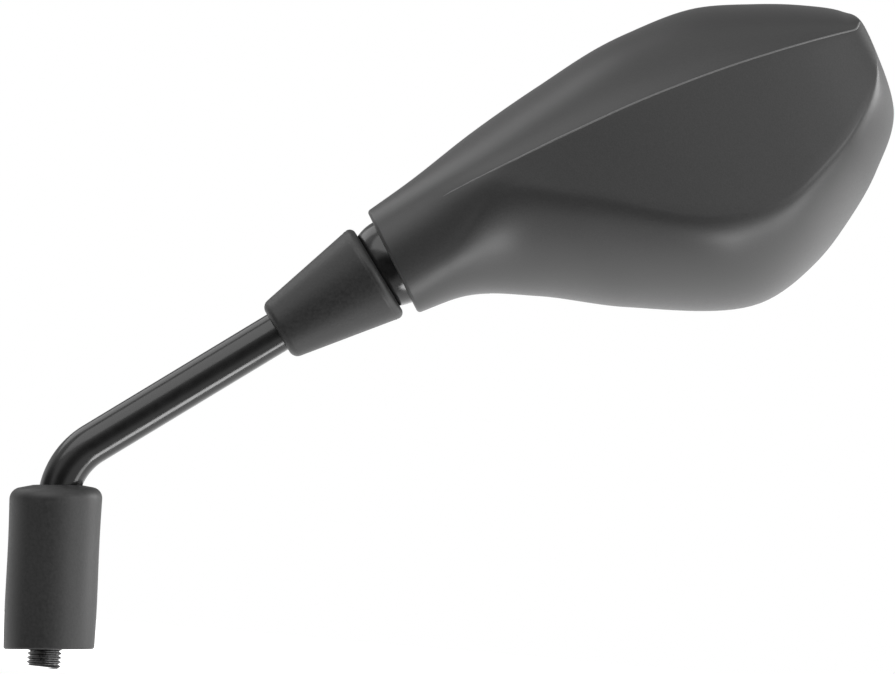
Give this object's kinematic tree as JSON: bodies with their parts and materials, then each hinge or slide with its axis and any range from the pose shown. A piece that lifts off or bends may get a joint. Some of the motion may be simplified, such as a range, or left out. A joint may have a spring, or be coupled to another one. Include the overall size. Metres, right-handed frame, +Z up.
{
  "type": "motorcycle mirror",
  "caption": "Motorcycle rear-view mirror: faceted matte black housing on a ball joint with a tapered rubber boot, bent round steel stem, rubber lower sleeve and threaded mounting end.",
  "frame": {"origin": "on the mounting thread's axis, where the full thread starts above its entry chamfer", "axes": "+Z up the thread's axis, +X outboard along the arm, -Y out of the housing's closed back, +Y out of the glass"},
  "size_m": [0.2478, 0.0467, 0.2122],
  "materials": {
    "gloss_black_steel": "gloss black paint over steel",
    "dark_steel": "black zinc",
    "rubber": "matte moulded rubber",
    "gloss_black_ball": "gloss black",
    "spring_steel": "oiled spring steel",
    "zinc_steel": "bright zinc",
    "nylon_blue": "nylon",
    "nylon_white": "nylon",
    "black_plastic": "fine moulded grain, matte black",
    "carrier_plastic": "matte black",
    "foam": "black foam",
    "mirror_glass": "convex mirror glass"
  },
  "bodies": {
    "arm": {"stem": "gloss_black_steel", "lock_nut": "dark_steel", "lower_sleeve": "rubber", "joint_boot": "rubber", "ball": "gloss_black_ball", "joint_spring": "spring_steel", "thrust_washer": "zinc_steel", "joint_nut": "zinc_steel", "nut_insert": "nylon_blue"},
    "swivel": {"pressure_cup": "zinc_steel"},
    "liner": {"friction_liner": "nylon_white"},
    "head": {"rear_housing": "black_plastic", "socket_bracket": "zinc_steel", "bracket_screw_1": "dark_steel", "bracket_screw_2": "dark_steel", "bracket_screw_3": "dark_steel", "bracket_screw_4": "dark_steel", "glass_carrier": "carrier_plastic", "carrier_screw_1": "dark_steel", "carrier_screw_2": "dark_steel", "carrier_screw_3": "dark_steel", "carrier_screw_4": "dark_steel", "foam_pad": "foam", "mirror_glass": "mirror_glass"}
  },
  "joints": [
    {"name": "head_swivel", "type": "hinge", "parent": "arm", "child": "swivel", "pos_m": [0.09165, 0, 0.12625], "axis": [0.8075, 0, 0.5899], "continuous": true},
    {"name": "head_tilt", "type": "hinge", "parent": "swivel", "child": "liner", "pos_m": [0.09165, 0, 0.12625], "axis": [-0.5899, 0, 0.8075], "range_deg": [-10, 10]},
    {"name": "head_lift", "type": "hinge", "parent": "liner", "child": "head", "pos_m": [0.09165, 0, 0.12625], "axis": [0, 1, 0], "range_deg": [-16.5, 7.4]}
  ]
}
